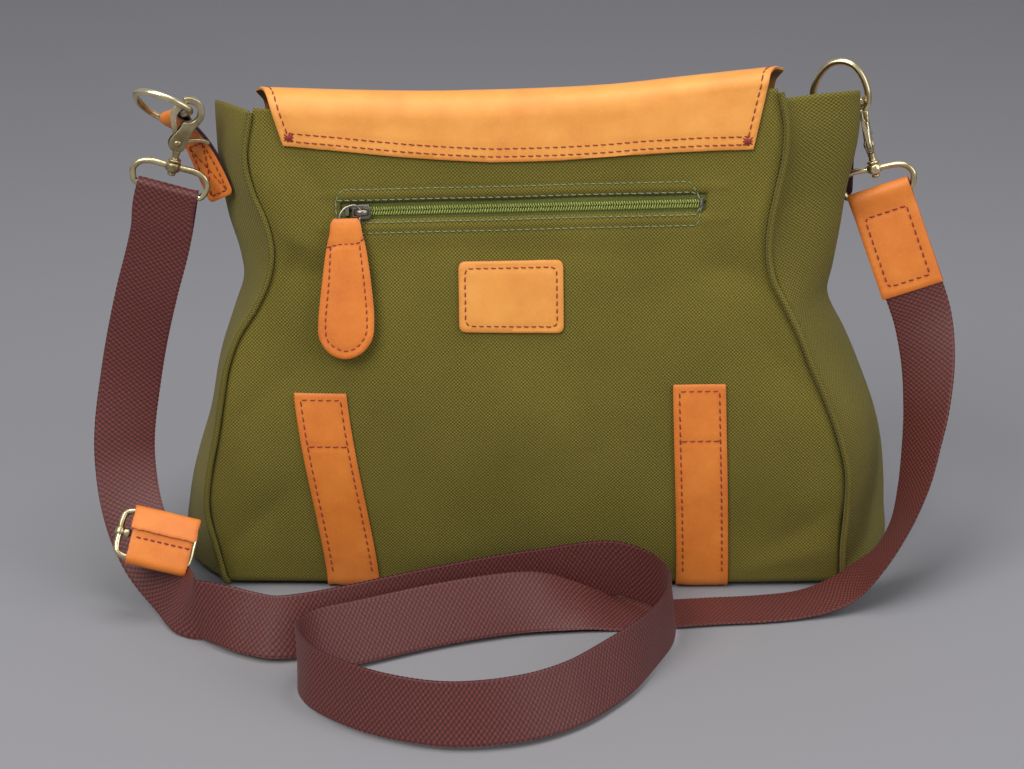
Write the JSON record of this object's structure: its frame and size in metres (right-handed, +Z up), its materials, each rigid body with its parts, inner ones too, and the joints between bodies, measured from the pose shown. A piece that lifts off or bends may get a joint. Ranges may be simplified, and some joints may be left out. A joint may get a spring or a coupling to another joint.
{
  "type": "messenger bag",
  "caption": "Soft canvas messenger bag with a leather flap, zipped back pocket, leather trim and a webbing shoulder strap on trigger hooks.",
  "frame": {"origin": "on the surface the bag stands on, under the middle of the bag and its two strap rings", "axes": "+X along the bag, towards the end with the leather strap end; +Y from the zipped back to the flap front; +Z up"},
  "size_m": [0.5423, 0.3584, 0.3297],
  "materials": {
    "canvas": "coarse plain-weave cotton canvas, matt",
    "lining_cloth": "thin woven lining, matt",
    "leather": "smooth tan leather, low sheen",
    "brass": "antique brass, brushed",
    "zip_metal": "darkened bronze",
    "webbing": "coarse woven webbing, slight sheen",
    "zip_coil": "nylon coil",
    "zip_tape": "woven tape",
    "board": "stiffening board, matt"
  },
  "bodies": {
    "bag": {"back_label": "leather", "back_panel": "canvas", "base_board": "board", "base_panel": "canvas", "base_strap_left": "leather", "base_strap_right": "leather", "flap_yoke": "leather", "front_panel": "canvas", "gusset_left": "canvas", "gusset_right": "canvas", "hook_bail_left": "brass", "hook_bail_right": "brass", "lining": "lining_cloth", "piping_back_left": "canvas", "piping_back_right": "canvas", "piping_front_left": "canvas", "piping_front_right": "canvas", "snap_socket_left": "brass", "snap_socket_right": "brass", "strap_end_leather": "leather", "strap_return": "webbing", "strap_webbing": "webbing", "tab_left": "leather", "tab_right": "leather", "zip_coil": "zip_coil", "zip_pocket_bag": "lining_cloth", "zip_stop_closed": "zip_metal", "zip_stop_open": "zip_metal", "zip_tape": "zip_tape"},
    "flap_top": {"flap_top": "leather"},
    "flap_front": {"flap_front": "leather", "closure_strap_left": "leather", "closure_strap_right": "leather"},
    "closure_tail_left": {"closure_tail_left": "leather", "snap_stud_left": "brass"},
    "buckle_frame_left": {"buckle_frame_left": "brass"},
    "buckle_prong_left": {"buckle_prong_left": "brass"},
    "closure_tail_right": {"closure_tail_right": "leather", "snap_stud_right": "brass"},
    "buckle_frame_right": {"buckle_frame_right": "brass"},
    "buckle_prong_right": {"buckle_prong_right": "brass"},
    "zip_slider": {"zip_slider": "zip_metal"},
    "zip_puller": {"zip_pull": "zip_metal", "zip_puller": "leather"},
    "d_ring_left": {"d_ring_left": "brass"},
    "hook_left": {"hook_claw_left": "brass", "hook_rivet_left": "brass", "swivel_cap_left": "brass"},
    "hook_gate_left": {"hook_gate_left": "brass"},
    "d_ring_right": {"d_ring_right": "brass"},
    "hook_right": {"hook_claw_right": "brass", "hook_rivet_right": "brass", "swivel_cap_right": "brass"},
    "hook_gate_right": {"hook_gate_right": "brass"},
    "adjuster": {"adjuster_frame": "brass", "adjuster_bar": "brass", "adjuster_wrap_upper": "leather", "adjuster_wrap_lower": "leather"}
  },
  "joints": [
    {"name": "flap_top_hinge", "type": "hinge", "parent": "bag", "child": "flap_top", "pos_m": [-0.0058, -0.0437, 0.3235], "axis": [1, 0, 0], "range_deg": [0, 150]},
    {"name": "flap_front_fold", "type": "hinge", "parent": "flap_top", "child": "flap_front", "pos_m": [-0.0058, 0.0353, 0.302], "axis": [1, 0, 0], "range_deg": [0, 150]},
    {"name": "closure_tail_hinge_left", "type": "hinge", "parent": "flap_front", "child": "closure_tail_left", "pos_m": [-0.1113, 0.06919, 0.104], "axis": [1, 0, 0], "range_deg": [0, 90]},
    {"name": "buckle_frame_hinge_left", "type": "hinge", "parent": "flap_front", "child": "buckle_frame_left", "pos_m": [-0.1113, 0.0674, 0.168], "axis": [1, 0, 0], "range_deg": [0, 50]},
    {"name": "buckle_prong_hinge_left", "type": "hinge", "parent": "buckle_frame_left", "child": "buckle_prong_left", "pos_m": [-0.1113, 0.0674, 0.168], "axis": [1, 0, 0], "range_deg": [0, 60]},
    {"name": "closure_tail_hinge_right", "type": "hinge", "parent": "flap_front", "child": "closure_tail_right", "pos_m": [0.1117, 0.06918, 0.104], "axis": [1, 0, 0], "range_deg": [0, 90]},
    {"name": "buckle_frame_hinge_right", "type": "hinge", "parent": "flap_front", "child": "buckle_frame_right", "pos_m": [0.1117, 0.06701, 0.168], "axis": [1, 0, 0], "range_deg": [0, 50]},
    {"name": "buckle_prong_hinge_right", "type": "hinge", "parent": "buckle_frame_right", "child": "buckle_prong_right", "pos_m": [0.1117, 0.06701, 0.168], "axis": [1, 0, 0], "range_deg": [0, 60]},
    {"name": "zip_slide", "type": "slide", "parent": "bag", "child": "zip_slider", "axis": [0.9997, 0, 0.0246], "range_m": [0, 0.197]},
    {"name": "zip_pull_swing", "type": "hinge", "parent": "zip_slider", "child": "zip_puller", "pos_m": [-0.10221, -0.05468, 0.24817], "axis": [-0.0034, -0.9903, 0.1386], "range_deg": [-30, 8]},
    {"name": "d_ring_hinge_left", "type": "hinge", "parent": "bag", "child": "d_ring_left", "pos_m": [-0.2144, -0.0336, 0.3037], "axis": [0.5997, -0.7197, 0.3498], "range_deg": [-5, 5]},
    {"name": "hook_swivel_left", "type": "hinge", "parent": "bag", "child": "hook_left", "pos_m": [-0.21757, -0.04107, 0.27371], "axis": [0.2704, -0.0501, 0.9614], "range_deg": [-5, 2]},
    {"name": "hook_trigger_left", "type": "hinge", "parent": "hook_left", "child": "hook_gate_left", "pos_m": [-0.21431, -0.04212, 0.28886], "axis": [-0.2501, 0.9607, 0.1204], "range_deg": [0, 6], "stiffness_Nm_per_rad": 0.02, "springref_deg": -17.19},
    {"name": "d_ring_hinge_right", "type": "hinge", "parent": "bag", "child": "d_ring_right", "pos_m": [0.1964, 0.0138, 0.2959], "axis": [-0.9207, 0.3903, 0], "range_deg": [-5, 5]},
    {"name": "hook_swivel_right", "type": "hinge", "parent": "bag", "child": "hook_right", "pos_m": [0.21838, 0.00113, 0.25975], "axis": [-0.2413, 0.1005, 0.9652], "range_deg": [-1.5, 0.8]},
    {"name": "hook_trigger_right", "type": "hinge", "parent": "hook_right", "child": "hook_gate_right", "pos_m": [0.21442, 0.00171, 0.27476], "axis": [-0.9442, 0.2053, -0.2574], "range_deg": [0, 8], "stiffness_Nm_per_rad": 0.02, "springref_deg": -17.19},
    {"name": "adjuster_slide", "type": "slide", "parent": "bag", "child": "adjuster", "axis": [0.2013, 0.5828, 0.7873], "range_m": [0, 0.02]}
  ],
  "couplings": [
    {"joint": "flap_front_fold", "follows": "flap_top_hinge", "ratio": 1}
  ]
}
